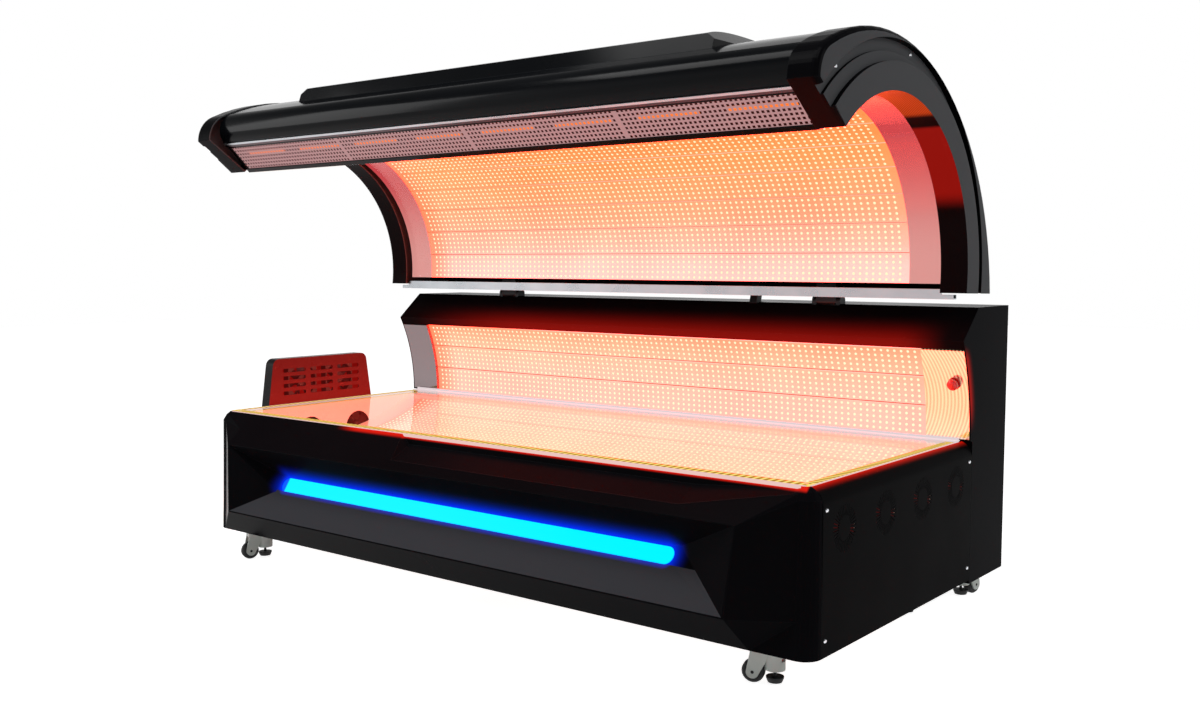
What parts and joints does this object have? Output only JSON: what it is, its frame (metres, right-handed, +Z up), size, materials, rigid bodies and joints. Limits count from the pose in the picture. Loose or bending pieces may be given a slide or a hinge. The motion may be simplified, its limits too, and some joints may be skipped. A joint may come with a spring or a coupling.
{
  "type": "red light therapy bed",
  "caption": "Lying bed with lit clear sheet, rear light column and hinged light canopy on levelling castors.",
  "frame": {"origin": "centre of the bounding box's underside, where the castor wheels meet the floor", "axes": "+X along the bed towards the foot end, +Y to the rear column, +Z up; canopy open at rest"},
  "size_m": [2.228, 1.2172, 1.5269],
  "materials": {
    "frame_steel": "satin",
    "gloss_black": "high gloss",
    "cyan_lens": "lit diffuser",
    "carrier_alloy": "satin",
    "panel_black": "semi-gloss",
    "tray_white": "satin",
    "board_peach": "lit boards",
    "clear_sheet": "clear, polished",
    "bright_steel": "bright",
    "fan_black": "matte",
    "filler_pink": "glossy, lit",
    "hinge_black": "satin",
    "collar_red": "satin",
    "button_red": "glossy",
    "box_dark": "semi-gloss",
    "unit_grey": "satin",
    "actuator_grey": "satin",
    "rail_silver": "brushed",
    "grille_rose": "satin",
    "lamp_orange": "lit",
    "castor_grey": "satin",
    "castor_black": "matte",
    "dial_red": "satin"
  },
  "bodies": {
    "base": {"base_frame": "frame_steel", "front_fascia": "gloss_black", "light_bar_lens": "cyan_lens", "light_bar_carrier": "carrier_alloy", "side_panel_right": "panel_black", "side_panel_left": "panel_black", "led_tray": "tray_white", "bed_led_boards": "board_peach", "bed_acrylic": "clear_sheet", "panel_screws": "bright_steel", "cooling_fans": "fan_black", "column_housing": "panel_black", "column_rear_cover": "panel_black", "column_led_boards": "board_peach", "column_acrylic": "clear_sheet", "column_filler_strips": "filler_pink", "column_ledge_trim": "tray_white", "hinge_brackets": "hinge_black", "button_collar": "collar_red", "head_fan_box": "box_dark", "power_units": "unit_grey"},
    "canopy": {"canopy_shell": "gloss_black", "end_cap_right": "gloss_black", "end_cap_left": "gloss_black", "canopy_rails": "rail_silver", "front_grille": "grille_rose", "vent_lamps": "lamp_orange", "canopy_led_boards": "board_peach", "canopy_acrylic": "clear_sheet", "canopy_filler_strips": "filler_pink", "canopy_ribs": "frame_steel", "hinge_arms": "hinge_black", "canopy_screws": "bright_steel"},
    "stop_button": {"button_head": "button_red"},
    "actuator_outer": {"actuator_tube": "actuator_grey"},
    "actuator_inner": {"actuator_rod": "bright_steel"},
    "castor_1": {"castor_1_body": "castor_grey"},
    "castor_1_roller": {"castor_1_wheel": "castor_black"},
    "castor_1_adjuster": {"castor_1_dial": "dial_red"},
    "castor_1_foot": {"castor_1_pad": "castor_grey"},
    "castor_2": {"castor_2_body": "castor_grey"},
    "castor_2_roller": {"castor_2_wheel": "castor_black"},
    "castor_2_adjuster": {"castor_2_dial": "dial_red"},
    "castor_2_foot": {"castor_2_pad": "castor_grey"},
    "castor_3": {"castor_3_body": "castor_grey"},
    "castor_3_roller": {"castor_3_wheel": "castor_black"},
    "castor_3_adjuster": {"castor_3_dial": "dial_red"},
    "castor_3_foot": {"castor_3_pad": "castor_grey"},
    "castor_4": {"castor_4_body": "castor_grey"},
    "castor_4_roller": {"castor_4_wheel": "castor_black"},
    "castor_4_adjuster": {"castor_4_dial": "dial_red"},
    "castor_4_foot": {"castor_4_pad": "castor_grey"},
    "castor_5": {"castor_5_body": "castor_grey"},
    "castor_5_roller": {"castor_5_wheel": "castor_black"},
    "castor_5_adjuster": {"castor_5_dial": "dial_red"},
    "castor_5_foot": {"castor_5_pad": "castor_grey"},
    "castor_6": {"castor_6_body": "castor_grey"},
    "castor_6_roller": {"castor_6_wheel": "castor_black"},
    "castor_6_adjuster": {"castor_6_dial": "dial_red"},
    "castor_6_foot": {"castor_6_pad": "castor_grey"}
  },
  "joints": [
    {"name": "canopy_hinge", "type": "hinge", "parent": "base", "child": "canopy", "pos_m": [0, 0.405, 0.852], "axis": [1, 0, 0], "range_deg": [0, 41]},
    {"name": "actuator_swing", "type": "hinge", "parent": "base", "child": "actuator_outer", "pos_m": [0.389, 0.568, 0.64], "axis": [1, 0, 0], "range_deg": [-11.5, 0]},
    {"name": "actuator_stroke", "type": "slide", "parent": "actuator_outer", "child": "actuator_inner", "axis": [0, -0.8184, 0.5746], "range_m": [-0.045, 0]},
    {"name": "stop_button_press", "type": "slide", "parent": "base", "child": "stop_button", "axis": [0, 0.966, 0.2586], "range_m": [0, 0.005], "stiffness_N_per_m": 600, "springref_m": -0.002},
    {"name": "castor_1_swivel", "type": "hinge", "parent": "base", "child": "castor_1", "pos_m": [0.962, -0.445, 0.09], "axis": [0, 0, 1], "continuous": true},
    {"name": "castor_1_roll", "type": "hinge", "parent": "castor_1", "child": "castor_1_roller", "pos_m": [0.91502, -0.4621, 0.027], "axis": [0.342, -0.9397, 0], "continuous": true},
    {"name": "castor_1_dial_turn", "type": "hinge", "parent": "castor_1", "child": "castor_1_adjuster", "pos_m": [0.962, -0.445, 0.06], "axis": [0, 0, 1], "range_deg": [0, 2400]},
    {"name": "castor_1_foot_travel", "type": "slide", "parent": "castor_1", "child": "castor_1_foot", "axis": [0, 0, -1], "range_m": [0, 0.01]},
    {"name": "castor_2_swivel", "type": "hinge", "parent": "base", "child": "castor_2", "pos_m": [-0.962, -0.445, 0.09], "axis": [0, 0, 1], "continuous": true},
    {"name": "castor_2_roll", "type": "hinge", "parent": "castor_2", "child": "castor_2_roller", "pos_m": [-0.9791, -0.49199, 0.027], "axis": [0.9397, -0.342, 0], "continuous": true},
    {"name": "castor_2_dial_turn", "type": "hinge", "parent": "castor_2", "child": "castor_2_adjuster", "pos_m": [-0.962, -0.445, 0.06], "axis": [0, 0, 1], "range_deg": [0, 2400]},
    {"name": "castor_2_foot_travel", "type": "slide", "parent": "castor_2", "child": "castor_2_foot", "axis": [0, 0, -1], "range_m": [0, 0.01]},
    {"name": "castor_3_swivel", "type": "hinge", "parent": "base", "child": "castor_3", "pos_m": [0.962, 0.271, 0.09], "axis": [0, 0, 1], "continuous": true},
    {"name": "castor_3_roll", "type": "hinge", "parent": "castor_3", "child": "castor_3_roller", "pos_m": [0.93332, 0.23004, 0.027], "axis": [0.8192, -0.5736, 0], "continuous": true},
    {"name": "castor_3_dial_turn", "type": "hinge", "parent": "castor_3", "child": "castor_3_adjuster", "pos_m": [0.962, 0.271, 0.06], "axis": [0, 0, 1], "range_deg": [0, 2400]},
    {"name": "castor_3_foot_travel", "type": "slide", "parent": "castor_3", "child": "castor_3_foot", "axis": [0, 0, -1], "range_m": [0, 0.01]},
    {"name": "castor_4_swivel", "type": "hinge", "parent": "base", "child": "castor_4", "pos_m": [-0.962, 0.271, 0.09], "axis": [0, 0, 1], "continuous": true},
    {"name": "castor_4_roll", "type": "hinge", "parent": "castor_4", "child": "castor_4_roller", "pos_m": [-0.99068, 0.23004, 0.027], "axis": [0.8192, -0.5736, 0], "continuous": true},
    {"name": "castor_4_dial_turn", "type": "hinge", "parent": "castor_4", "child": "castor_4_adjuster", "pos_m": [-0.962, 0.271, 0.06], "axis": [0, 0, 1], "range_deg": [0, 2400]},
    {"name": "castor_4_foot_travel", "type": "slide", "parent": "castor_4", "child": "castor_4_foot", "axis": [0, 0, -1], "range_m": [0, 0.01]},
    {"name": "castor_5_swivel", "type": "hinge", "parent": "base", "child": "castor_5", "pos_m": [1.01, 0.533, 0.09], "axis": [0, 0, 1], "continuous": true},
    {"name": "castor_5_roll", "type": "hinge", "parent": "castor_5", "child": "castor_5_roller", "pos_m": [1.02294, 0.5813, 0.027], "axis": [-0.9659, 0.2588, 0], "continuous": true},
    {"name": "castor_5_dial_turn", "type": "hinge", "parent": "castor_5", "child": "castor_5_adjuster", "pos_m": [1.01, 0.533, 0.06], "axis": [0, 0, 1], "range_deg": [0, 2400]},
    {"name": "castor_5_foot_travel", "type": "slide", "parent": "castor_5", "child": "castor_5_foot", "axis": [0, 0, -1], "range_m": [0, 0.01]},
    {"name": "castor_6_swivel", "type": "hinge", "parent": "base", "child": "castor_6", "pos_m": [-1.01, 0.533, 0.09], "axis": [0, 0, 1], "continuous": true},
    {"name": "castor_6_roll", "type": "hinge", "parent": "castor_6", "child": "castor_6_roller", "pos_m": [-0.985, 0.5763, 0.027], "axis": [-0.866, 0.5, 0], "continuous": true},
    {"name": "castor_6_dial_turn", "type": "hinge", "parent": "castor_6", "child": "castor_6_adjuster", "pos_m": [-1.01, 0.533, 0.06], "axis": [0, 0, 1], "range_deg": [0, 2400]},
    {"name": "castor_6_foot_travel", "type": "slide", "parent": "castor_6", "child": "castor_6_foot", "axis": [0, 0, -1], "range_m": [0, 0.01]}
  ],
  "couplings": [
    {"joint": "actuator_swing", "follows": "canopy_hinge", "ratio": -0.262},
    {"joint": "actuator_stroke", "follows": "canopy_hinge", "m_per_rad": -0.06125},
    {"joint": "castor_1_dial_turn", "follows": "castor_1_foot_travel", "rad_per_m": 4188},
    {"joint": "castor_2_dial_turn", "follows": "castor_2_foot_travel", "rad_per_m": 4188},
    {"joint": "castor_3_dial_turn", "follows": "castor_3_foot_travel", "rad_per_m": 4188},
    {"joint": "castor_4_dial_turn", "follows": "castor_4_foot_travel", "rad_per_m": 4188},
    {"joint": "castor_5_dial_turn", "follows": "castor_5_foot_travel", "rad_per_m": 4188},
    {"joint": "castor_6_dial_turn", "follows": "castor_6_foot_travel", "rad_per_m": 4188}
  ]
}
